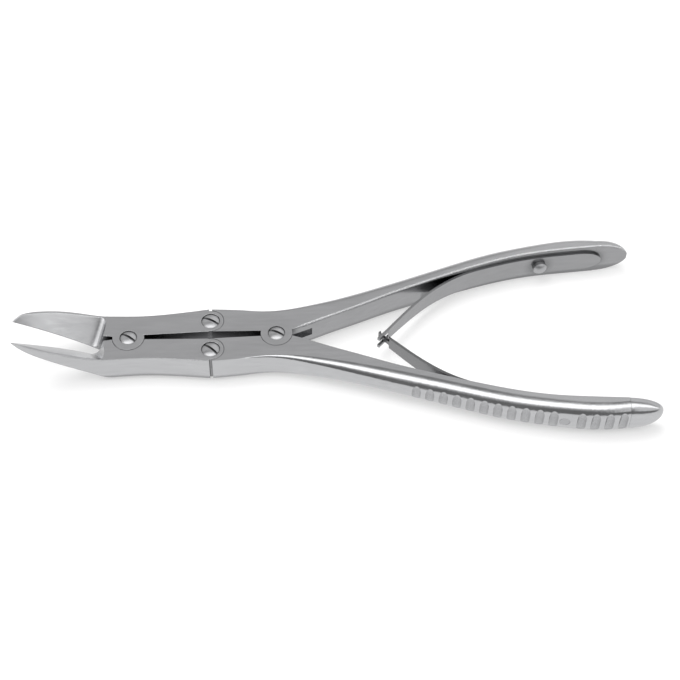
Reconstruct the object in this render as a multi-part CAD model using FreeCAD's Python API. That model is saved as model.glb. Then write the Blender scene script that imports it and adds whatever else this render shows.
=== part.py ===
"""Double-action bone cutting rongeur, jaws open, lying on its side.

Four levers form a closed chain: two jaws turn on the jaw pivot, two handles turn on
the handle pivot, and a link joint on each side ties a jaw's tail to a handle's nose.
Squeezing the handles spreads the link joints, which brings the cutting edges together.
Two leaf springs, hooked together between the handles, push them apart again.

Frame: origin on the handle pivot's axis in the plane of the joints' underside, +X
towards the handle ends, +Y across towards the upper handle, +Z up. Millimetres.
"""
import FreeCAD, Part
import math
import os

V = FreeCAD.Vector
UP = V(0, 0, 1)

# Linkage, with the jaws open
PIVOT_SPAN = 44.0
LINK_AHEAD = 19.6
LINK_OFFSET = 5.4
JAW_OPEN_DEG = 6.6

# Joint plates
PLATE_T = 8.2
CHEEK_SLOT_END = 10.8
BOSS_R = 4.7
LINK_DISC_R = 3.9
CHEEK_T = 2.6
LAP_GAP = 0.06
BOSS_GAP = 0.15
LINK_SLIT = 0.9
RELIEF_DEG = 8.5

# Half widths of the joint plates
SHOULDER_HALF = 8.45
JAW_PIVOT_HALF = 8.05
TAIL_HALF = 8.7
LINK_HALF = 9.9
HANDLE_PIVOT_HALF = 8.95
TAIL_MID = 14.0
HALF_GAP_JAW = 0.8
HALF_GAP_LINK = 1.35
HALF_GAP_HANDLE = 0.85

# Jaws: distance ahead of the jaw pivot, then half width, underside and rise of the spine
JAW_LENGTH = 33.8
JAW_BEND_START = 5.0
SHOULDER_AHEAD = 7.4
SHOULDER_LEAN_DEG = 20.0
SHOULDER_FILLET = 2.0
EDGE_LAND = 0.05
SPINE_LAND = 0.35
CLOSED_GAP = 0.04
JAW_WIDTHS = [(31.6, 5.5), (28.7, 6.75), (24.0, 7.8), (19.6, 8.35), (13.0, 8.6)]
JAW_UNDERSIDE = [(9.3, 1.5), (19.6, 6.8), (28.7, 10.5), (36.0, 13.1)]
SPINE_RISE = [(13.0, 1.2), (20.0, 3.1), (26.0, 4.4), (36.0, 5.5)]
FACET_STATIONS = [5.0, 9.3, 14.0, 19.6, 24.5, 29.0]
FACET_OVERRUN = 2.0

# Handles, by share of the way from the plate's end to the handle's end:
# inner face, outer face and height above the plate's thickness
PLATE_END = 10.0
HANDLE_REACH = 111.6
NARROWING = [
    (0.0, 3.25, 11.4, 0.0),
    (0.06, 5.85, 13.2, 0.0),
    (0.14, 9.1, 15.9, 0.15),
    (0.23, 13.0, 19.1, 0.6),
    (0.335, 17.0, 22.7, 1.2),
    (0.453, 21.2, 26.75, 1.9),
    (0.571, 24.9, 30.4, 2.4),
    (0.689, 27.5, 32.9, 2.8),
    (0.807, 28.8, 34.5, 3.1),
    (0.896, 29.5, 34.3, 3.1),
]
END_Y = 30.3
END_SHARES = [0.0, 0.35, 0.6, 0.8, 0.92, 0.985]
END_LAP = 0.5
END_INSET = 0.05
NOSE_WAIST = 0.35

# Rounding of the handles' outer edges: where it starts, where it is full, its radius
# there, how slowly it starts, and the small angle at which it meets the flat faces
ROUNDING_START = -12.0
ROUNDING_FULL_AT = 42.0
ROUNDING_LEAST = 0.05
ROUNDING_GROWTH = 1.35
GRIP_ROUNDING = 4.2
ROUNDING_MEETS_DEG = 8.0
ROUNDING_STEP = 5.0

# Grip grooves; the spring screw takes the place of the one after SCREW_GROOVE_COUNT
GROOVE_START = 40.2
GROOVE_PITCH = 4.05
GROOVE_R = 1.7
GROOVE_DEPTH = 0.65
SCREW_GROOVE_COUNT = 11

# Joint screws
PIVOT_HEAD_R = 2.5
LINK_HEAD_R = 2.7
HEAD_T = 1.1
HEAD_DOME = 0.6
HEAD_GAP = 0.06
SHANK_R = 1.6
SHANK_GAP = 0.05
SCREW_SLOT_W = 0.75
SCREW_SLOT_DEPTH = 1.1
PIVOT_SLOT_DEG = -35.0
HANDLE_SLOT_DEG = -27.0
UPPER_LINK_SLOT_DEG = -29.0
LOWER_LINK_SLOT_DEG = -42.0

# Leaf springs
LEAF_T = 0.8
LEAF_SEAT_GAP = 0.05
LEAF_SETBACK = 8.6
LEAF_END = 7.0
LEAF_LIFT_AT = 60.0
LEAF_SEATS = 6
LEAF_DROP = [(50.0, 1.7), (42.5, 5.1), (36.0, 9.3)]
LEAF_W = 7.2
LEAF_FULL_AT = 58.0
LEAF_NECK_W = 4.2
HOOK_AT = 31.6
HOOK_BACK = 2.1
HOOK_REACH = 2.1
HOOK_SLOT_W = 2.2
HOOK_TONGUE_W = 1.6
HOOK_HEAD_T = 0.8

# Spring screws
SPRING_HEAD_R = 2.15
SPRING_HEAD_T = 1.2
SPRING_DOME = 1.0
SPRING_SHANK_R = 1.5
SPRING_HOLE_GAP = 0.1
SPRING_HEAD_GAP = 0.05

JAW_X = -PIVOT_SPAN
LINK_X = -LINK_AHEAD
NOSE_X = LINK_X + LINK_SLIT / 2
MID_Z = PLATE_T / 2
OVER = 6.0
HANDLE_STATIONS = [(PLATE_END + share * (HANDLE_REACH - PLATE_END), inner, outer, PLATE_T + extra)
                   for share, inner, outer, extra in NARROWING]
GRIP_END = HANDLE_STATIONS[-1][0]
LEAF_REACH = HANDLE_REACH - LEAF_SETBACK


def spline(points, start=None, end=None):
    """Smooth plan curve through (x, y) points, with optional end directions."""
    curve = Part.BSplineCurve()
    places = [V(x, y, 0) for x, y in points]
    if start and end:
        curve.interpolate(Points=places, InitialTangent=V(*start, 0), FinalTangent=V(*end, 0))
    else:
        curve.interpolate(places)
    return curve


def at(curve, x):
    """Second coordinate of a plan curve where its first one is x."""
    low, high = curve.FirstParameter, curve.LastParameter
    rising = curve.value(high).x > curve.value(low).x
    for _ in range(50):
        middle = (low + high) / 2
        if (curve.value(middle).x < x) == rising:
            low = middle
        else:
            high = middle
    return curve.value((low + high) / 2).y


def polyline(points):
    return Part.makePolygon([V(x, y, 0) for x, y in points])


def prism(edges, low, high):
    """Solid over a closed plan outline from height low to height high."""
    face = Part.Face(Part.Wire(Part.__sortEdges__(edges)))
    return face.extrude(V(0, 0, high - low)).translated(V(0, 0, low))


def plan_polygon(points, low, high):
    return prism(polyline(points + points[:1]).Edges, low, high)


def disc(x, y, radius, low, high):
    return Part.makeCylinder(radius, high - low, V(x, y, low), UP)


def side_profile(edges, half_width):
    """Solid under an outline drawn with X along and Y up, pushed out across the part."""
    face = Part.Face(Part.Wire(Part.__sortEdges__(edges)))
    face.rotate(V(0, 0, 0), V(1, 0, 0), 90)
    return face.extrude(V(0, -2 * half_width, 0)).translated(V(0, half_width, 0))


def join(first, *others):
    return first.fuse(list(others)).removeSplitter()


def mirrored(shape):
    """The same shape on the other side of the centre line."""
    return shape.mirror(V(0, 0, 0), V(0, 1, 0))


def link_relief():
    """Wedge on the inner side of a link joint, where the two levers close up."""
    reach = LINK_OFFSET + OVER
    lean = reach * math.tan(math.radians(RELIEF_DEG))
    corners = [(LINK_X, LINK_OFFSET), (LINK_X - lean, LINK_OFFSET - reach)]
    corners.append((LINK_X + lean, LINK_OFFSET - reach))
    return plan_polygon(corners, -OVER, PLATE_T + OVER)


def jaw_outer_curve():
    """Outer edge of the open upper jaw, from past its tip to the link joint."""
    lean = math.tan(math.radians(JAW_OPEN_DEG))
    points = [(JAW_X - JAW_LENGTH, JAW_LENGTH * lean + CLOSED_GAP)]
    points += [(JAW_X - ahead, half) for ahead, half in JAW_WIDTHS]
    points.append((JAW_X - SHOULDER_AHEAD, SHOULDER_HALF))
    points.append((JAW_X + BOSS_R, JAW_PIVOT_HALF))
    points.append((JAW_X + TAIL_MID, TAIL_HALF))
    points.append((LINK_X - LINK_SLIT / 2, LINK_HALF))
    return spline(points)


def jaw_plan():
    """Edges of the open upper jaw's full outline."""
    outer = jaw_outer_curve()
    tip = outer.value(outer.FirstParameter)
    end = outer.value(outer.LastParameter)
    pivot_corner = (JAW_X, CLOSED_GAP)
    inner_points = [(JAW_X + BOSS_R, HALF_GAP_JAW)]
    inner_points.append((JAW_X + TAIL_MID, (HALF_GAP_JAW + HALF_GAP_LINK) / 2))
    inner_points.append((LINK_X - LINK_SLIT / 2, HALF_GAP_LINK))
    inner = spline(inner_points)
    straight = polyline([(tip.x, tip.y), pivot_corner, inner_points[0]])
    slit = polyline([(end.x, end.y), inner_points[-1]])
    return [outer.toShape(), inner.toShape()] + straight.Edges + slit.Edges


def underside_curve():
    points = [(JAW_X - ahead, height) for ahead, height in JAW_UNDERSIDE]
    return spline([(JAW_X - JAW_BEND_START, 0.0)] + points, (-1, 0), (-1, 0.36))


def spine_curve():
    points = [(JAW_X - ahead, PLATE_T + rise) for ahead, rise in SPINE_RISE]
    return spline([(JAW_X - SHOULDER_AHEAD, PLATE_T)] + points, (-1, 0.1), (-1, 0.0))


def jaw_side():
    """Jaw and tail seen from the side: flat tail, blade bowed upwards."""
    under, spine = underside_curve(), spine_curve()
    front = [under.value(under.LastParameter), spine.value(spine.LastParameter)]
    under_start, spine_start = under.value(under.FirstParameter), spine.value(spine.FirstParameter)
    back = LINK_X + OVER
    rear = [(under_start.x, under_start.y), (back, 0.0), (back, PLATE_T)]
    rear.append((spine_start.x, spine_start.y))
    nose = polyline([(front[0].x, front[0].y), (front[1].x, front[1].y)])
    edges = [under.toShape(), spine.toShape()] + nose.Edges + polyline(rear).Edges
    return side_profile(edges, LINK_HALF + OVER)


def facet_cutter():
    """What the ground facet takes off the blade: above a slope from edge to spine."""
    outer, under, spine = jaw_outer_curve(), underside_curve(), spine_curve()
    lean = math.tan(math.radians(JAW_OPEN_DEG))
    inward, ceiling = -OVER, PLATE_T + 3 * OVER
    sections = []
    for ahead in FACET_STATIONS + [JAW_LENGTH + FACET_OVERRUN]:
        x = JAW_X - ahead
        edge_z = (at(under, x) if ahead > JAW_BEND_START else 0.0) + EDGE_LAND
        if ahead < JAW_LENGTH:
            spine_z = at(spine, x) if ahead > SHOULDER_AHEAD else PLATE_T
            width = at(outer, x) - ahead * lean - SPINE_LAND
            slope = (spine_z - edge_z) / width
        outward = LINK_HALF + OVER
        corners = [(inward, edge_z + slope * inward), (outward, edge_z + slope * outward)]
        corners += [(outward, ceiling + slope * outward), (inward, ceiling + slope * outward)]
        places = [V(x, y + CLOSED_GAP, z) for y, z in corners]
        sections.append(Part.makePolygon(places + places[:1]))
    cutter = Part.makeLoft(sections, True, False)
    return cutter


def facet_tool():
    """The cutter, ended at the leaning shoulder wall with a rounded foot."""
    cutter = facet_cutter()
    size = 10 * OVER
    behind = Part.makeBox(size, 2 * size, size, V(0, -size, -size / 2))
    behind.rotate(V(0, 0, 0), V(0, 1, 0), SHOULDER_LEAN_DEG)
    behind.translate(V(JAW_X - SHOULDER_AHEAD, 0, PLATE_T))
    tool = cutter.cut(behind)
    foot = [edge for edge in tool.Edges if is_foot(edge)]
    tool = tool.makeFillet(SHOULDER_FILLET, foot)
    tool.rotate(V(JAW_X, 0, 0), UP, -JAW_OPEN_DEG)
    return tool


def is_foot(edge):
    """True for the facet cutter's edge at the foot of the shoulder wall."""
    box = edge.BoundBox
    wide = box.YLength > LINK_HALF
    near = box.XMin > JAW_X - SHOULDER_AHEAD - OVER
    return wide and near and box.ZMin < 0


def blade_blank():
    """Jaw and tail at full thickness, with the ground facet."""
    return prism(jaw_plan(), -OVER, PLATE_T + 2 * OVER).common(jaw_side()).cut(facet_tool())


def jaw(boss_on_top):
    """One jaw with its tail, built for the upper side of the picture."""
    lap_low, lap_high = MID_Z - LAP_GAP / 2, MID_Z + LAP_GAP / 2
    body = blade_blank().cut(link_relief())
    boss_low, boss_high = (lap_high, PLATE_T) if boss_on_top else (0.0, lap_low)
    other_low, other_high = (-OVER, lap_high) if boss_on_top else (lap_low, PLATE_T + OVER)
    body = body.cut(disc(JAW_X, 0, BOSS_R + BOSS_GAP, other_low, other_high))
    body = body.cut(disc(LINK_X, LINK_OFFSET, LINK_DISC_R + BOSS_GAP, -OVER, lap_high))
    body = join(body, disc(JAW_X, 0, BOSS_R, boss_low, boss_high),
                disc(LINK_X, LINK_OFFSET, LINK_DISC_R, lap_high, PLATE_T))
    if boss_on_top:
        body = body.cut(screw_way(JAW_X, 0, PIVOT_HEAD_R, lap_low))
    else:
        body = body.cut(disc(JAW_X, 0, SHANK_R, -OVER, lap_high))
    return body.cut(screw_way(LINK_X, LINK_OFFSET, LINK_HEAD_R, lap_low))


def screw_way(x, y, head_r, low):
    """Running bore and head seat that a lever turns on, from height low upwards."""
    bore = disc(x, y, SHANK_R + SHANK_GAP, low, PLATE_T + OVER)
    seat = disc(x, y, head_r + HEAD_GAP, PLATE_T - HEAD_T - HEAD_GAP, PLATE_T + OVER)
    return bore.fuse(seat)


def turned(outline, dome_top):
    """Solid turned about Z from (radius, height) points, closed by a low dome."""
    points = [V(radius, 0, height) for radius, height in outline]
    lines = [Part.makeLine(a, b) for a, b in zip(points, points[1:])]
    rim, top = points[-1], V(0, 0, dome_top)
    rise = dome_top - rim.z
    ball_r = (rim.x ** 2 + rise ** 2) / (2 * rise)
    halfway = V(rim.x / 2, 0, dome_top - ball_r + math.sqrt(ball_r ** 2 - rim.x ** 2 / 4))
    dome = Part.Arc(rim, halfway, top).toShape()
    axis = Part.makeLine(top, points[0])
    return Part.Face(Part.Wire(lines + [dome, axis])).revolve(V(0, 0, 0), UP, 360)


def joint_screw(x, y, head_r, slot_deg):
    """Slotted screw with a low domed head; its tail is ground flush underneath."""
    seat_z, rim_z, top_z = PLATE_T - HEAD_T, PLATE_T - HEAD_DOME / 3, PLATE_T + HEAD_DOME
    outline = [(0, 0), (SHANK_R, 0), (SHANK_R, seat_z), (head_r, seat_z), (head_r, rim_z)]
    slot = Part.makeBox(4 * head_r, SCREW_SLOT_W, OVER, V(-2 * head_r, -SCREW_SLOT_W / 2, 0))
    slot.translate(V(0, 0, top_z - SCREW_SLOT_DEPTH))
    slot.rotate(V(0, 0, 0), UP, slot_deg)
    return turned(outline, top_z).cut(slot).translated(V(x, y, 0))


def outer_curve():
    """Outer edge of a handle, from the link joint to where its end rounds off."""
    points = [(NOSE_X, LINK_HALF)]
    points.append((LINK_X * 0.4, (HANDLE_PIVOT_HALF + LINK_HALF) / 2 - NOSE_WAIST))
    points.append((-BOSS_R / 2, HANDLE_PIVOT_HALF))
    return spline(points + [(x, outer) for x, _, outer, _ in HANDLE_STATIONS])


def inner_curve():
    """Inner face of a handle, from beside the handle pivot to its end."""
    start = (BOSS_R * 0.8, HALF_GAP_HANDLE)
    points = [(x, inner) for x, inner, _, _ in HANDLE_STATIONS]
    return spline([start] + points + [(HANDLE_REACH, END_Y)])


def parameter_at(curve, x):
    """Parameter of a plan curve that runs towards +X, where it crosses x."""
    low, high = curve.FirstParameter, curve.LastParameter
    for _ in range(50):
        middle = (low + high) / 2
        if curve.value(middle).x < x:
            low = middle
        else:
            high = middle
    return (low + high) / 2


def stretch(curve, start, end):
    """The part of a curve that runs towards +X from start to end, as an edge."""
    return curve.toShape(parameter_at(curve, start), parameter_at(curve, end))


def handle_plan():
    """Edges of a handle's outline up to its rounded end."""
    outer, inner = outer_curve(), inner_curve()
    bend_x = BOSS_R * 0.8
    middle = (LINK_X / 2, (HALF_GAP_LINK + HALF_GAP_HANDLE) / 2)
    front = spline([(NOSE_X, HALF_GAP_LINK), middle, (bend_x, HALF_GAP_HANDLE)])
    slit = polyline([(NOSE_X, HALF_GAP_LINK), (NOSE_X, LINK_HALF)])
    end = polyline([(GRIP_END, at(inner, GRIP_END)), (GRIP_END, at(outer, GRIP_END))])
    edges = [stretch(outer, NOSE_X, GRIP_END), stretch(inner, bend_x, GRIP_END), front.toShape()]
    return edges + slit.Edges + end.Edges


def half_height_curve():
    """Half the handle's height along its deepening stretch, from the plate's end."""
    points = [(x, height / 2) for x, _, _, height in HANDLE_STATIONS]
    slope = (points[1][1] - points[0][1]) / (points[1][0] - points[0][0]) / 2
    rear_slope = (points[-1][1] - points[-2][1]) / (points[-1][0] - points[-2][0])
    return spline(points, (1, slope), (1, rear_slope))


def handle_side():
    """A handle seen from the side: level at the joints, deeper towards its end."""
    curve = half_height_curve().toShape()
    front, half = LINK_X - OVER, HANDLE_STATIONS[-1][3] / 2
    outline = [(PLATE_END, PLATE_T / 2), (front, PLATE_T / 2), (front, 0.0)]
    upper = [curve] + polyline(outline).Edges
    upper += polyline([(GRIP_END, half), (GRIP_END, 0.0)]).Edges
    lower = [edge.mirror(V(0, 0, 0), V(0, 1, 0)) for edge in upper]
    solid = side_profile(upper + lower, HANDLE_STATIONS[-1][2] + OVER)
    return solid.translated(V(0, 0, MID_Z))


def rounding_at(x):
    """Radius of the handle's outer edges at x."""
    share = min(1, (x - ROUNDING_START) / (ROUNDING_FULL_AT - ROUNDING_START))
    growth = math.sin(share * math.pi / 2) ** ROUNDING_GROWTH
    return ROUNDING_LEAST + (GRIP_ROUNDING - ROUNDING_LEAST) * growth


def corner_section(x, outer_y, top_z, radius):
    """Section of the cutter that rounds an outer edge: everything beyond a quarter circle."""
    meets = math.radians(ROUNDING_MEETS_DEG)
    centre = V(x, outer_y - radius, top_z - radius)
    reach = OVER / 2

    def rim(angle):
        return centre + V(0, math.cos(angle), math.sin(angle)) * radius

    high, low = rim(math.pi / 2 - meets), rim(meets)
    above = high + V(0, -math.cos(meets), math.sin(meets)) * reach
    beyond = low + V(0, math.sin(meets), -math.cos(meets)) * reach
    corner = V(x, beyond.y + reach, above.z + reach)
    arc = Part.Arc(high, rim(math.pi / 4), low).toShape()
    lines = [Part.makeLine(above, high), arc, Part.makeLine(low, beyond)]
    return Part.Wire(lines + [Part.makeLine(beyond, corner), Part.makeLine(corner, above)])


def edge_cutters():
    """Cutters that round a handle's two outer edges, more and more towards the grip."""
    outer, half = outer_curve(), half_height_curve()
    count = round((GRIP_END - ROUNDING_START) / ROUNDING_STEP)
    sections = []
    for number in range(count + 1):
        x = ROUNDING_START + (GRIP_END - ROUNDING_START) * number / count
        height = at(half, x) if x > PLATE_END else PLATE_T / 2
        sections.append(corner_section(x, at(outer, x), MID_Z + height, rounding_at(x)))
    upper = Part.makeLoft(sections, True, False)
    return [upper, upper.mirror(V(0, 0, MID_Z), UP)]


def quarter(x, centre_y, centre_z, radius, side):
    """Quarter circle across X, from level with the centre's y to level with its z."""
    lean = radius * math.sqrt(0.5)
    top = V(x, centre_y, centre_z + side * radius)
    between = V(x, centre_y + lean, centre_z + side * lean)
    return Part.Arc(top, between, V(x, centre_y + radius, centre_z)).toShape()


def end_section(x, inner, width, height, radius):
    """Closed section across a handle's end: flat inner face, rounded outer edges."""
    low, high = MID_Z - height / 2, MID_Z + height / 2
    outer, flat_y = inner + width, inner + width - radius
    edges = [Part.makeLine(V(x, inner, low), V(x, inner, high))]
    edges.append(Part.makeLine(V(x, inner, high), V(x, flat_y, high)))
    edges.append(quarter(x, flat_y, high - radius, radius, 1))
    edges.append(Part.makeLine(V(x, outer, high - radius), V(x, outer, low + radius)))
    edges.append(quarter(x, flat_y, low + radius, radius, -1))
    edges.append(Part.makeLine(V(x, flat_y, low), V(x, inner, low)))
    return Part.Wire(edges)


def handle_end():
    """The last of a handle, closing to a small oval, a hair inside the length it grows from."""
    inner = inner_curve()
    face, back, height = HANDLE_STATIONS[-1][1:]
    sections = []
    for share in [-END_LAP / (HANDLE_REACH - GRIP_END)] + END_SHARES:
        x = GRIP_END + (HANDLE_REACH - GRIP_END) * share
        fall = math.sqrt(1 - max(share, 0) ** 2)
        sections.append(end_section(x, at(inner, x) + END_INSET, (back - face) * fall - 2 * END_INSET,
                                    height * fall - 2 * END_INSET, GRIP_ROUNDING * fall))
    return Part.makeLoft(sections, True, False)


def handle_blank():
    """A whole handle before its joints, grooves and screw hole are cut."""
    blank = prism(handle_plan(), -OVER, PLATE_T + OVER).common(handle_side())
    return join(blank.cut(edge_cutters()), handle_end())


def grip_places():
    """Point and outward direction at each groove place along a handle's outer face."""
    outer = outer_curve()
    place = parameter_at(outer, GROOVE_START)
    places = []
    while outer.value(place).x < GRIP_END - GROOVE_R:
        along = outer.tangent(place)[0]
        places.append((outer.value(place), V(-along.y, along.x, 0)))
        place = outer.parameterAtDistance(GROOVE_PITCH, place)
    return places


def groove_cutters():
    """Upright cylinders that scallop the outer face, all but the screw's place."""
    cutters = []
    for number, (point, outward) in enumerate(grip_places()):
        if number == SCREW_GROOVE_COUNT:
            continue
        centre = point + outward * (GROOVE_R - GROOVE_DEPTH)
        cutters.append(disc(centre.x, centre.y, GROOVE_R, -OVER, PLATE_T + OVER))
    return cutters


def handle(cheeked):
    """One handle; the upper has two cheeks at the pivot, the lower a tongue between."""
    lap_low, lap_high = MID_Z - LAP_GAP / 2, MID_Z + LAP_GAP / 2
    cheek_low, cheek_high = CHEEK_T, PLATE_T - CHEEK_T
    body = handle_blank().cut(groove_cutters() + [link_relief()])
    body = body.cut(disc(LINK_X, LINK_OFFSET, LINK_DISC_R + BOSS_GAP, lap_low, PLATE_T + OVER))
    body = body.fuse(disc(LINK_X, LINK_OFFSET, LINK_DISC_R, 0.0, lap_low))
    body = body.cut(disc(LINK_X, LINK_OFFSET, SHANK_R, -OVER, lap_high))
    if cheeked:
        slot = disc(0, 0, BOSS_R + BOSS_GAP, cheek_low, cheek_high)
        depth = BOSS_R + BOSS_GAP
        milled = [(0, -OVER), (CHEEK_SLOT_END, -OVER), (CHEEK_SLOT_END, depth), (0, depth)]
        body = body.cut([slot, plan_polygon(milled, cheek_low, cheek_high)])
        body = body.fuse([disc(0, 0, BOSS_R, 0.0, cheek_low),
                          disc(0, 0, BOSS_R, cheek_high, PLATE_T)])
        seat = disc(0, 0, PIVOT_HEAD_R + HEAD_GAP, PLATE_T - HEAD_T - HEAD_GAP, PLATE_T + OVER)
        body = body.cut([disc(0, 0, SHANK_R, -OVER, PLATE_T + OVER), seat])
    else:
        under = disc(0, 0, BOSS_R + BOSS_GAP, -OVER, cheek_low + LAP_GAP)
        over = disc(0, 0, BOSS_R + BOSS_GAP, cheek_high - LAP_GAP, PLATE_T + OVER)
        tongue = disc(0, 0, BOSS_R, cheek_low + LAP_GAP, cheek_high - LAP_GAP)
        body = body.cut([under, over]).fuse(tongue)
        body = body.cut(disc(0, 0, SHANK_R + SHANK_GAP, -OVER, PLATE_T + OVER))
    point, inward = spring_seat()
    body = body.cut(Part.makeCylinder(SPRING_SHANK_R, 4 * OVER, point + inward * OVER, inward * -1))
    return body.removeSplitter()


def spring_seat():
    """Where the spring screw's axis meets a handle's inner face, and the way inward."""
    inner = inner_curve()
    place = parameter_at(inner, grip_places()[SCREW_GROOVE_COUNT][0].x)
    point, along = inner.value(place), inner.tangent(place)[0]
    return V(point.x, point.y, MID_Z), V(along.y, -along.x, 0)


def spring_depth():
    """Distance through a handle along the spring screw's axis."""
    outer = outer_curve()
    point, inward = spring_seat()
    low, high = 0.0, 3 * OVER
    for _ in range(50):
        depth = (low + high) / 2
        place = point - inward * depth
        if place.y < at(outer, place.x):
            low = depth
        else:
            high = depth
    return (low + high) / 2


def leaf_faces():
    """Plan curves of a leaf's handle side and its other side."""
    inner = inner_curve()
    step = (LEAF_REACH - LEAF_LIFT_AT) / LEAF_SEATS
    seated = [(LEAF_REACH - step * count, LEAF_SEAT_GAP) for count in range(LEAF_SEATS + 1)]
    points = [(x, at(inner, x) - drop) for x, drop in seated + LEAF_DROP]
    start = V(*points[-1], 0)
    onward = (V(HOOK_AT, 0, 0) - start).normalize()
    points.append((HOOK_AT, 0.0))
    points.append((HOOK_AT + onward.x * HOOK_REACH, onward.y * HOOK_REACH))
    near = spline(points)
    far_points = []
    for x, y in points:
        place = near.parameter(V(x, y, 0))
        along = near.tangent(place)[0]
        far_points.append((x - along.y * LEAF_T, y + along.x * LEAF_T))
    return near, spline(far_points)


def leaf_side():
    """A leaf seen from the side: narrow at the hook, full over the handle, oval end."""
    front, full = HOOK_AT - OVER, LEAF_FULL_AT
    neck, half = LEAF_NECK_W / 2, LEAF_W / 2
    start = LEAF_REACH - LEAF_END
    lines = polyline([(start, MID_Z + half), (full, MID_Z + half), (HOOK_AT + HOOK_BACK, MID_Z + neck),
                      (front, MID_Z + neck), (front, MID_Z - neck), (HOOK_AT + HOOK_BACK, MID_Z - neck),
                      (full, MID_Z - half), (start, MID_Z - half)])
    oval = Part.Ellipse(V(start, MID_Z, 0), LEAF_END, half)
    end = oval.toShape(-math.pi / 2, math.pi / 2)
    return side_profile(lines.Edges + [end], HANDLE_STATIONS[-1][2] + OVER)


def leaf_blank():
    """A leaf before its hook end is cut."""
    near, far = leaf_faces()
    ends = []
    for place in ("first", "last"):
        a = near.value(near.FirstParameter if place == "first" else near.LastParameter)
        b = far.value(far.FirstParameter if place == "first" else far.LastParameter)
        ends.append(Part.makeLine(a, b))
    strip = prism([near.toShape(), far.toShape()] + ends, -OVER, PLATE_T + OVER)
    return strip.common(leaf_side())


def block(x_low, x_high, z_low, z_high):
    """Box across the whole part, used to cut the spring hooks."""
    half = HANDLE_STATIONS[-1][2] + OVER
    return Part.makeBox(x_high - x_low, 2 * half, z_high - z_low, V(x_low, -half, z_low))


def spring_leaf(forked):
    """A leaf with a fork, or with the T-shaped tongue that hooks through it."""
    leaf = leaf_blank()
    front, back = HOOK_AT - OVER, HOOK_AT + HOOK_BACK
    if forked:
        leaf = leaf.cut(block(front, back, MID_Z - HOOK_SLOT_W / 2, MID_Z + HOOK_SLOT_W / 2))
    else:
        near, _ = leaf_faces()
        head = near.value(near.LastParameter).x + HOOK_HEAD_T
        leaf = leaf.cut([block(head, back, MID_Z + HOOK_TONGUE_W / 2, PLATE_T + OVER),
                         block(head, back, -OVER, MID_Z - HOOK_TONGUE_W / 2)])
    point, inward = spring_seat()
    hole_r = SPRING_SHANK_R + SPRING_HOLE_GAP
    return leaf.cut(Part.makeCylinder(hole_r, 4 * OVER, point + inward * OVER, inward * -1))


def spring_screw():
    """Domed screw that clamps a leaf; its tail is ground flush with the handle."""
    point, inward = spring_seat()
    tail, seat = -spring_depth(), LEAF_SEAT_GAP + LEAF_T + SPRING_HEAD_GAP
    rim = seat + SPRING_HEAD_T
    outline = [(0, tail), (SPRING_SHANK_R, tail), (SPRING_SHANK_R, seat)]
    screw = turned(outline + [(SPRING_HEAD_R, seat), (SPRING_HEAD_R, rim)], rim + SPRING_DOME)
    screw.Placement = FreeCAD.Placement(point, FreeCAD.Rotation(UP, inward))
    return screw


def build():
    """Every piece of the rongeur, by name."""
    return {
        "upper_jaw": jaw(True),
        "lower_jaw": mirrored(jaw(False)),
        "upper_handle": handle(True),
        "lower_handle": mirrored(handle(False)),
        "jaw_pivot_screw": joint_screw(JAW_X, 0, PIVOT_HEAD_R, PIVOT_SLOT_DEG),
        "handle_pivot_screw": joint_screw(0, 0, PIVOT_HEAD_R, HANDLE_SLOT_DEG),
        "upper_link_screw": joint_screw(LINK_X, LINK_OFFSET, LINK_HEAD_R, UPPER_LINK_SLOT_DEG),
        "lower_link_screw": joint_screw(LINK_X, -LINK_OFFSET, LINK_HEAD_R, LOWER_LINK_SLOT_DEG),
        "upper_spring_leaf": spring_leaf(True),
        "lower_spring_leaf": mirrored(spring_leaf(False)),
        "upper_spring_screw": spring_screw(),
        "lower_spring_screw": mirrored(spring_screw()),
    }


def main():
    os.makedirs("parts", exist_ok=True)
    for name, shape in build().items():
        shape.exportStep(os.path.join("parts", name + ".step"))


if __name__ == "__main__":
    main()
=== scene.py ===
"""Studio view of the bone rongeur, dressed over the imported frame."""
import math

import bmesh
import bpy
from mathutils import Matrix, Vector


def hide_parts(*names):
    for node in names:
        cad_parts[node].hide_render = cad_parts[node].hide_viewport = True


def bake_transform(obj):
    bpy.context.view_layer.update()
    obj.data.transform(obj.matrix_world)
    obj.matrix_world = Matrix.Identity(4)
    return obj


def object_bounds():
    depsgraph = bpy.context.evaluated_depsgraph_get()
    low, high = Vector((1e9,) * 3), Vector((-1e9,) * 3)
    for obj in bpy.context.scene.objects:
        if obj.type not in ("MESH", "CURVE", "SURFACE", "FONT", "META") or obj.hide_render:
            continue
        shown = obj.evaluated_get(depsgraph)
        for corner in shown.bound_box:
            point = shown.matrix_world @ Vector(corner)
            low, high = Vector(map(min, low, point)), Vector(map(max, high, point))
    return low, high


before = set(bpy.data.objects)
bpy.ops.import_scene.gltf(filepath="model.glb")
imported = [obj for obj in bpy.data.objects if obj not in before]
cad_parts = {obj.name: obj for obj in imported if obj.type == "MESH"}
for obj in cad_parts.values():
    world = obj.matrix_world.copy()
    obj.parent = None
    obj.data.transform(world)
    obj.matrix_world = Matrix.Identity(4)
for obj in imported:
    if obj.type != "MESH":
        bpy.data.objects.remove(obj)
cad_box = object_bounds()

MM = 0.001

# Camera, where the photograph was taken from
CAMERA_TARGET = Vector((19.27, 3.06, 0.0)) * MM
CAMERA_DISTANCE = 451.7 * MM
CAMERA_ELEVATION = math.radians(50.96)
CAMERA_AZIMUTH = math.radians(-4.06)
CAMERA_ROLL = math.radians(1.30)
CAMERA_NEAR = 0.01
FRAME_PIXELS = 680
FOCAL_PIXELS = 1484.0
SENSOR_WIDTH = 36.0

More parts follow.
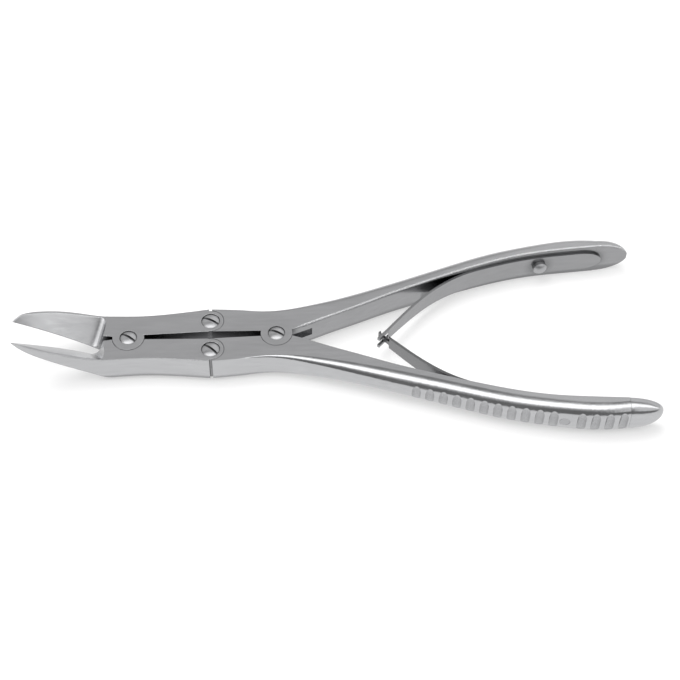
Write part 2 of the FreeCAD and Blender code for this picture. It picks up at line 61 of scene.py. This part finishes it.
# Studio: what polished steel sees round the X axis, as degrees up from the viewer's
# horizon, over the top and down to the far one, with brightness
STUDIO_BANDS = [
    (-10, 0.16), (30, 0.17), (46, 0.45), (55, 1.7), (78, 1.7), (88, 0.7),
    (97, 0.24), (108, 0.24), (122, 0.5), (145, 0.48), (180, 0.3),
]
# A soft box past the handle ends, which the ground blades face, and a far wall, which the
# flat tops face. Each has the X of the directions where it starts and where it is full, its
# two edges in degrees, and its brightness
END_BOX = {"along": (0.14, 0.36), "edges": (22, 64), "level": 0.72}
FAR_WALL = {"along": (0.05, 0.14), "edges": (100, 175), "level": 0.64}
BOX_FADE = math.radians(5)

# Key light, which the floor takes and the steel doesn't reflect
KEY_PLACE = Vector((-0.15, 0.22, 0.7))
KEY_TARGET = Vector((0.03, 0.0, 0.0))
KEY_SIZE = (0.7, 0.5)
KEY_POWER = 6.0

# Floor: just below the tool's lowest point, with its paint, its own share of light beside
# the tool, the distances over which that grows to all of it, and its brightness in the steel
FLOOR_Z = cad_box[0][2] - 0.015 * MM
FLOOR_SIZE = 3.0
FLOOR_PAINT = 0.9
FLOOR_GLOW = 0.52
FLOOR_GLOW_FROM = 0.16
FLOOR_GLOW_FULL = 0.4
FLOOR_IN_STEEL = 0.8

# Steel: its cool cast, the grain that a belt leaves and fainter clouds. Grain and clouds have
# their scale per metre, the range of their tone, and how far they shift the roughness
STEEL_CAST = (0.99, 0.995, 1.015)
GRAIN_SCALE = (120.0, 900.0, 900.0)
GRAIN_DETAIL = 5.0
GRAIN_TONES = (0.965, 1.035)
GRAIN_ROUGHNESS = (-0.04, 0.04)
GRAIN_DEPTH = 0.02 * MM
CLOUD_SCALE = (60.0, 160.0, 160.0)
CLOUD_DETAIL = 2.0
CLOUD_TONES = (0.97, 1.03)
CLOUD_ROUGHNESS = (-0.02, 0.02)
# The values between which most of a noise lies
NOISE_RANGE = (0.3, 0.7)
# Painted shade in hollows and gaps: how far the occlusion search reaches, and the tone painted by the
# open share of the sky
CAVITY_SHADE_REACH = 3.0 * MM
CAVITY_SHADE_TONES = [(0.0, 0.03), (0.3, 0.1), (0.4, 0.2), (0.52, 0.5), (0.92, 0.6), (0.995, 1.0)]
CAVITY_SHADE_SAMPLES = 8
# A handle's edges turn from crisp at the pivot to softened, with a painted highlight, along the shank,
# between these places along X, and only near its top, between these heights
CRISP_RADIUS = 0.04 * MM
SOFT_EDGE_FROM = 4.0 * MM
SOFT_EDGE_TO = 9.0 * MM
SOFT_EDGE_ABOVE = 5.5 * MM
SOFT_EDGE_TOP = 7.0 * MM
# Painted highlight along softened edges: how well the softened normal agrees with the face
EDGE_FROM = 0.98
EDGE_TO = 0.82
EDGE_SAMPLES = 6
# Painted shade on faces that look at the other handle, by the part of their normal along Y
INNER_FROM = 0.55
INNER_TO = 0.9
# What a steel has where its material says nothing else
STEEL_INPUTS = {
    "Tint": 0.66, "Roughness": 0.2, "Grain": 0.2, "Edge Radius": 0.2 * MM, "Cavity": 0.8,
    "Edge Light": 0.1, "Inner Side": 0.0, "Inner Tint": 1.0,
}

# Leaf springs: where the two hook together
HOOK_PLACE = Vector((31.6, 0.0, 4.1)) * MM
MERGE_WITHIN = 0.002 * MM
LEAF_SHARP_FROM = math.radians(30)
# The lower leaf's T-shaped head lies closer to the fork than in the solid, and is narrower
TONGUE_HEAD_BEFORE = 31.1 * MM
TONGUE_HALF = 1.0 * MM
TONGUE_DRAWN_IN = Vector((0.51, -0.55, 0.0)) * MM
HEAD_SHARE = 0.75


def link(tree, start, end):
    tree.links.new(start, end)


def grey(level):
    return (level, level, level, 1.0)


def arithmetic(tree, operation, *values):
    """Math node on two or three values, each a number or an output."""
    node = tree.nodes.new("ShaderNodeMath")
    node.operation = operation
    for socket, value in zip(node.inputs, values):
        if isinstance(value, (int, float)):
            socket.default_value = value
        else:
            link(tree, value, socket)
    return node.outputs[0]


def rescale(tree, source, start, stop, low=0.0, high=1.0, easing="LINEAR"):
    """Value taken from the range start to stop into the range low to high, and held there."""
    node = tree.nodes.new("ShaderNodeMapRange")
    node.interpolation_type = easing
    for name, value in (("From Min", start), ("From Max", stop), ("To Min", low), ("To Max", high)):
        node.inputs[name].default_value = value
    link(tree, source, node.inputs["Value"])
    return node.outputs[0]


def fading(tree, source, start, stop):
    """Share from 0 at start to 1 at stop, eased at both ends."""
    return rescale(tree, source, start, stop, easing="SMOOTHSTEP")


def tone_ramp(tree, source, stops, easing="LINEAR"):
    """Colour ramp through grey stops, each a place and a level."""
    ramp = tree.nodes.new("ShaderNodeValToRGB")
    ramp.color_ramp.interpolation = easing
    while len(ramp.color_ramp.elements) < len(stops):
        ramp.color_ramp.elements.new(0.5)
    for element, (place, level) in zip(ramp.color_ramp.elements, stops):
        element.position = place
        element.color = grey(level)
    link(tree, source, ramp.inputs[0])
    return ramp.outputs[0]


def noise(tree, place, scale, detail):
    """Noise with its own scale along each axis."""
    turn = tree.nodes.new("ShaderNodeMapping")
    turn.inputs["Scale"].default_value = scale
    link(tree, place.outputs["Object"], turn.inputs["Vector"])
    field = tree.nodes.new("ShaderNodeTexNoise")
    field.inputs["Scale"].default_value = 1.0
    field.inputs["Detail"].default_value = detail
    link(tree, turn.outputs[0], field.inputs["Vector"])
    return field.outputs["Fac"]


def spread(tree, source, low, high):
    """Noise spread from low to high."""
    return rescale(tree, source, *NOISE_RANGE, low, high)


def split_vector(tree, source):
    """Node whose outputs are a vector's X, Y and Z."""
    split = tree.nodes.new("ShaderNodeSeparateXYZ")
    link(tree, source, split.inputs[0])
    return split


def emission(tree, strength):
    shader = tree.nodes.new("ShaderNodeEmission")
    shader.inputs["Strength"].default_value = strength
    return shader.outputs[0]


def mix_shaders(tree, share, first, second):
    """Shader that turns from the first into the second as the share grows."""
    mix = tree.nodes.new("ShaderNodeMixShader")
    for socket, source in zip(mix.inputs, (share, first, second)):
        link(tree, source, socket)
    return mix.outputs[0]


def make_camera():
    """Camera at the photograph's place, turned and rolled as it was."""
    flat = math.cos(CAMERA_ELEVATION)
    back = Vector((math.sin(CAMERA_AZIMUTH) * flat, -math.cos(CAMERA_AZIMUTH) * flat,
                   math.sin(CAMERA_ELEVATION)))
    level = Vector((math.cos(CAMERA_AZIMUTH), math.sin(CAMERA_AZIMUTH), 0.0))
    above = back.cross(level).normalized()
    right = math.cos(CAMERA_ROLL) * level + math.sin(CAMERA_ROLL) * above
    up = -math.sin(CAMERA_ROLL) * level + math.cos(CAMERA_ROLL) * above
    data = bpy.data.cameras.new("photo_camera")
    data.sensor_width = SENSOR_WIDTH
    data.lens = FOCAL_PIXELS / FRAME_PIXELS * SENSOR_WIDTH
    data.clip_start = CAMERA_NEAR
    camera = bpy.data.objects.new("photo_camera", data)
    turn = Matrix((right, up, back)).transposed().to_4x4()
    camera.matrix_world = Matrix.Translation(CAMERA_TARGET + back * CAMERA_DISTANCE) @ turn
    bpy.context.scene.collection.objects.link(camera)
    bpy.context.scene.camera = camera


def make_studio():
    """World whose brightness runs in bands along X, as strip boxes round a table do."""
    world = bpy.data.worlds.new("studio")
    bpy.context.scene.world = world
    world.use_nodes = True
    tree = world.node_tree
    tree.nodes.clear()
    place = tree.nodes.new("ShaderNodeTexCoord")
    direction = split_vector(tree, place.outputs["Generated"])
    towards = arithmetic(tree, "MULTIPLY", direction.outputs["Y"], -1.0)
    angle = arithmetic(tree, "ARCTAN2", direction.outputs["Z"], towards)
    first = STUDIO_BANDS[0][0]
    last = STUDIO_BANDS[-1][0]
    share = rescale(tree, angle, math.radians(first), math.radians(last))
    stops = [((degrees - first) / (last - first), level) for degrees, level in STUDIO_BANDS]
    glow = tone_ramp(tree, share, stops, "EASE")
    for box in (END_BOX, FAR_WALL):
        glow = add_box(tree, glow, direction.outputs["X"], angle, **box)
    studio = tree.nodes.new("ShaderNodeBackground")
    link(tree, glow, studio.inputs["Color"])
    backdrop = tree.nodes.new("ShaderNodeBackground")
    backdrop.inputs["Color"].default_value = grey(1.0)
    path = tree.nodes.new("ShaderNodeLightPath")
    output = tree.nodes.new("ShaderNodeOutputWorld")
    link(tree, mix_shaders(tree, path.outputs["Is Camera Ray"], studio.outputs[0], backdrop.outputs[0]),
         output.inputs["Surface"])


def add_box(tree, before, sideways, angle, along, edges, level):
    """Mix a soft box into the studio, past a place along X and between two angles."""
    low, high = (math.radians(edge) for edge in edges)
    share = fading(tree, sideways, *along)
    share = arithmetic(tree, "MULTIPLY", share, fading(tree, angle, low, low + BOX_FADE))
    share = arithmetic(tree, "MULTIPLY", share, fading(tree, angle, high, high - BOX_FADE))
    mix = tree.nodes.new("ShaderNodeMix")
    mix.data_type = "RGBA"
    link(tree, share, mix.inputs["Factor"])
    link(tree, before, mix.inputs["A"])
    mix.inputs["B"].default_value = grey(level)
    return mix.outputs["Result"]


def make_key_light():
    """Large soft box above the table."""
    data = bpy.data.lights.new("key", "AREA")
    data.shape = "RECTANGLE"
    data.size, data.size_y = KEY_SIZE
    data.energy = KEY_POWER
    light = bpy.data.objects.new("key", data)
    light.location = KEY_PLACE
    light.rotation_euler = (KEY_TARGET - KEY_PLACE).to_track_quat("-Z", "Y").to_euler()
    light.visible_glossy = False
    bpy.context.scene.collection.objects.link(light)


def floor_glow(tree):
    """The floor's own share of light, which grows to all of it away from the tool."""
    place = tree.nodes.new("ShaderNodeTexCoord")
    reach = tree.nodes.new("ShaderNodeVectorMath")
    reach.operation = "LENGTH"
    link(tree, place.outputs["Object"], reach.inputs[0])
    far = fading(tree, reach.outputs["Value"], FLOOR_GLOW_FROM, FLOOR_GLOW_FULL)
    return arithmetic(tree, "ADD", FLOOR_GLOW, arithmetic(tree, "MULTIPLY", far, 1.0 - FLOOR_GLOW))


def floor_material():
    """White table that keeps the tool's soft shadow, and is clear to a camera below it."""
    material = bpy.data.materials.new("white_table")
    material.use_nodes = True
    tree = material.node_tree
    tree.nodes.clear()
    path = tree.nodes.new("ShaderNodeLightPath")
    to_camera = path.outputs["Is Camera Ray"]
    paint = tree.nodes.new("ShaderNodeBsdfDiffuse")
    paint.inputs["Color"].default_value = grey(FLOOR_PAINT)
    glowing = arithmetic(tree, "MULTIPLY", to_camera, floor_glow(tree))
    table = mix_shaders(tree, glowing, paint.outputs[0], emission(tree, 1.0))
    table = mix_shaders(tree, path.outputs["Is Glossy Ray"], table, emission(tree, FLOOR_IN_STEEL))
    shape = tree.nodes.new("ShaderNodeNewGeometry")
    clear = tree.nodes.new("ShaderNodeBsdfTransparent")
    from_below = arithmetic(tree, "MULTIPLY", shape.outputs["Backfacing"], to_camera)
    output = tree.nodes.new("ShaderNodeOutputMaterial")
    link(tree, mix_shaders(tree, from_below, table, clear.outputs[0]), output.inputs["Surface"])
    return material


def make_floor():
    """Square table under the tool."""
    half = FLOOR_SIZE / 2
    corners = [(x * half, y * half, FLOOR_Z) for x, y in ((-1, -1), (1, -1), (1, 1), (-1, 1))]
    mesh = bpy.data.meshes.new("floor")
    mesh.from_pydata(corners, [], [(0, 1, 2, 3)])
    mesh.materials.append(floor_material())
    floor = bpy.data.objects.new("floor", mesh)
    bpy.context.scene.collection.objects.link(floor)


def cavity_painted_shade(tree, entry):
    """Painted shade in hollows and gaps, darker where the occlusion finds more of the sky closed off.
    """
    occlusion = tree.nodes.new("ShaderNodeAmbientOcclusion")
    occlusion.samples = CAVITY_SHADE_SAMPLES
    occlusion.inputs["Distance"].default_value = CAVITY_SHADE_REACH
    shade_depth = arithmetic(tree, "SUBTRACT", 1.0, tone_ramp(tree, occlusion.outputs["AO"], CAVITY_SHADE_TONES))
    shade_depth = arithmetic(tree, "MULTIPLY", shade_depth, entry.outputs["Cavity"])
    return arithmetic(tree, "SUBTRACT", 1.0, shade_depth)


def inner_face_shade(tree, place, entry):
    """Painted shade on the face that looks along Y towards the other handle."""
    facing = split_vector(tree, place.outputs["Normal"])
    inward = arithmetic(tree, "MULTIPLY", facing.outputs["Y"], entry.outputs["Inner Side"])
    inner_shade_mask = fading(tree, inward, INNER_FROM, INNER_TO)
    shade_strength = arithmetic(tree, "SUBTRACT", 1.0, entry.outputs["Inner Tint"])
    return arithmetic(tree, "SUBTRACT", 1.0, arithmetic(tree, "MULTIPLY", inner_shade_mask, shade_strength))


def edge_painted_highlight(tree, entry, softened):
    """Painted highlight where the softened normal leaves the face's own."""
    shape = tree.nodes.new("ShaderNodeNewGeometry")
    agree = tree.nodes.new("ShaderNodeVectorMath")
    agree.operation = "DOT_PRODUCT"
    link(tree, softened, agree.inputs[0])
    link(tree, shape.outputs["True Normal"], agree.inputs[1])
    edge_highlight_share = fading(tree, agree.outputs["Value"], EDGE_FROM, EDGE_TO)
    return arithmetic(tree, "MULTIPLY_ADD", edge_highlight_share, entry.outputs["Edge Light"], 1.0)


def make_grinding_group():
    """Steel's fine grain and faint clouding, painted shade in hollows and on the faces towards the
    other handle, and softened edges with a painted highlight.
    """
    tree = bpy.data.node_groups.new("ground_steel", "ShaderNodeTree")
    for name, default in STEEL_INPUTS.items():
        socket = tree.interface.new_socket(name=name, in_out="INPUT", socket_type="NodeSocketFloat")
        socket.default_value = default
    for name, kind in (("Color", "NodeSocketColor"), ("Roughness", "NodeSocketFloat"),
                       ("Normal", "NodeSocketVector")):
        tree.interface.new_socket(name=name, in_out="OUTPUT", socket_type=kind)
    entry = tree.nodes.new("NodeGroupInput")
    leave = tree.nodes.new("NodeGroupOutput")
    place = tree.nodes.new("ShaderNodeTexCoord")
    grain = noise(tree, place, GRAIN_SCALE, GRAIN_DETAIL)
    clouds = noise(tree, place, CLOUD_SCALE, CLOUD_DETAIL)
    edge = tree.nodes.new("ShaderNodeBevel")
    edge.samples = EDGE_SAMPLES
    link(tree, entry.outputs["Edge Radius"], edge.inputs["Radius"])

    level = spread(tree, clouds, *CLOUD_TONES)
    for share in (spread(tree, grain, *GRAIN_TONES), entry.outputs["Tint"], cavity_painted_shade(tree, entry),
                  inner_face_shade(tree, place, entry), edge_painted_highlight(tree, entry, edge.outputs[0])):
        level = arithmetic(tree, "MULTIPLY", level, share)
    colour = tree.nodes.new("ShaderNodeCombineColor")
    for channel, share in zip(("Red", "Green", "Blue"), STEEL_CAST):
        link(tree, arithmetic(tree, "MULTIPLY", level, share), colour.inputs[channel])
    link(tree, colour.outputs[0], leave.inputs["Color"])

    rough = arithmetic(tree, "ADD", entry.outputs["Roughness"], spread(tree, grain, *GRAIN_ROUGHNESS))
    rough = arithmetic(tree, "ADD", rough, spread(tree, clouds, *CLOUD_ROUGHNESS))
    link(tree, rough, leave.inputs["Roughness"])

    bump = tree.nodes.new("ShaderNodeBump")
    bump.inputs["Distance"].default_value = GRAIN_DEPTH
    link(tree, entry.outputs["Grain"], bump.inputs["Strength"])
    link(tree, grain, bump.inputs["Height"])
    link(tree, edge.outputs[0], bump.inputs["Normal"])
    link(tree, bump.outputs[0], leave.inputs["Normal"])
    return tree


def steel_material(name, group, **finish):
    """Ground stainless steel; finish gives values for the group's named inputs."""
    material = bpy.data.materials.new(name)
    material.use_nodes = True
    tree = material.node_tree
    shader = tree.nodes["Principled BSDF"]
    shader.inputs["Metallic"].default_value = 1.0
    ground = tree.nodes.new("ShaderNodeGroup")
    ground.name = "ground"
    ground.node_tree = group
    for key, value in finish.items():
        ground.inputs[key.replace("_", " ").title()].default_value = value
    for result, socket in (("Color", "Base Color"), ("Roughness", "Roughness"), ("Normal", "Normal")):
        link(tree, ground.outputs[result], shader.inputs[socket])
    return material


def soften_past_pivot(material, edge_radius, edge_light):
    """Let a handle's top edges grow from crisp at the handle pivot to softened along the shank, with
    their painted highlight.
    """
    tree = material.node_tree
    ground = tree.nodes["ground"]
    place = tree.nodes.new("ShaderNodeTexCoord")
    split = split_vector(tree, place.outputs["Object"])
    along = fading(tree, split.outputs["X"], SOFT_EDGE_FROM, SOFT_EDGE_TO)
    share = arithmetic(tree, "MULTIPLY", along, fading(tree, split.outputs["Z"], SOFT_EDGE_ABOVE, SOFT_EDGE_TOP))
    growth = arithmetic(tree, "MULTIPLY", share, edge_radius - CRISP_RADIUS)
    link(tree, arithmetic(tree, "ADD", growth, CRISP_RADIUS), ground.inputs["Edge Radius"])
    link(tree, arithmetic(tree, "MULTIPLY", share, edge_light), ground.inputs["Edge Light"])


def dress(material, nodes):
    """Give CAD nodes one material."""
    for node in nodes:
        data = bpy.data.objects[node].data
        data.materials.clear()
        data.materials.append(material)


def draw_in_tongue(body):
    """Bring the lower leaf's T-shaped head closer to the fork, and its two ends closer together."""
    for vert in body.verts:
        if vert.co.x < TONGUE_HEAD_BEFORE:
            vert.co += TONGUE_DRAWN_IN
            height = vert.co.z - HOOK_PLACE.z
            if abs(height) > TONGUE_HALF:
                vert.co.z = HOOK_PLACE.z + HEAD_SHARE * height


def make_leaf(name, node, side, material):
    """A leaf spring copied from its CAD node's mesh, which it replaces; the lower leaf's head is drawn
    in.
    """
    mesh = bpy.data.objects[node].data.copy()
    mesh.name = name
    body = bmesh.new()
    body.from_mesh(mesh)
    bmesh.ops.remove_doubles(body, verts=body.verts, dist=MERGE_WITHIN)
    bmesh.ops.recalc_face_normals(body, faces=body.faces)
    if side < 0:
        draw_in_tongue(body)
    body.to_mesh(mesh)
    body.free()
    mesh.set_sharp_from_angle(angle=LEAF_SHARP_FROM)
    mesh.materials.clear()
    mesh.materials.append(material)
    leaf = bpy.data.objects.new(name, mesh)
    bpy.context.scene.collection.objects.link(leaf)
    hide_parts(node)
    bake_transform(leaf)


make_camera()
make_studio()
make_floor()
make_key_light()
bpy.context.scene.view_settings.view_transform = "Standard"

# Jaws and screws
ground_steel = make_grinding_group()
# Each steel's finish below sets the strength of its painted shade in hollows and of its painted
# highlight along edges
jaw_steel = steel_material("jaw_steel", ground_steel, tint=0.66, roughness=0.22, grain=0.2,
                           edge_radius=0.35 * MM, edge_light=0.0, cavity=1.0)
screw_steel = steel_material("screw_steel", ground_steel, tint=0.74, roughness=0.33, grain=0.1,
                             edge_radius=0.1 * MM, cavity=0.7)
spring_screw_steel = steel_material("spring_screw_steel", ground_steel, tint=0.6, roughness=0.45,
                                    grain=0.2, edge_radius=0.1 * MM, cavity=0.7)
dress(jaw_steel, ["upper_jaw", "lower_jaw"])
dress(screw_steel, ["jaw_pivot_screw", "handle_pivot_screw", "upper_link_screw", "lower_link_screw"])
dress(spring_screw_steel, ["upper_spring_screw", "lower_spring_screw"])

# Handles, of which the upper one has softened top edges with a painted highlight along them and the
# lower one crisp ones; both carry painted shade in hollows and on the faces towards the other handle
for handle, inner_side, edge_radius, edge_light, cavity in (
        ("upper_handle", -1.0, 1.5 * MM, 0.5, 0.65),
        ("lower_handle", 1.0, CRISP_RADIUS, 0.0, 0.9)):
    handle_steel = steel_material(handle + "_steel", ground_steel, tint=0.66, roughness=0.17, grain=0.2,
                                  edge_radius=edge_radius, edge_light=edge_light, cavity=cavity,
                                  inner_side=inner_side, inner_tint=0.66)
    soften_past_pivot(handle_steel, edge_radius, edge_light)
    dress(handle_steel, [handle])

# Leaf springs, whose tints are painted shade: darker than the handles' steel, and the lower leaf darker
# still
for name, own_body, other_body, side, tint in (("upper_leaf", "upper_handle", "lower_handle", 1, 0.42),
                                               ("lower_leaf", "lower_handle", "upper_handle", -1, 0.3)):
    leaf_steel = steel_material(name + "_steel", ground_steel, tint=tint, roughness=0.22, grain=0.15,
                                edge_radius=0.12 * MM, cavity=0.6)
    make_leaf(name, name.replace("leaf", "spring_leaf"), side, leaf_steel)
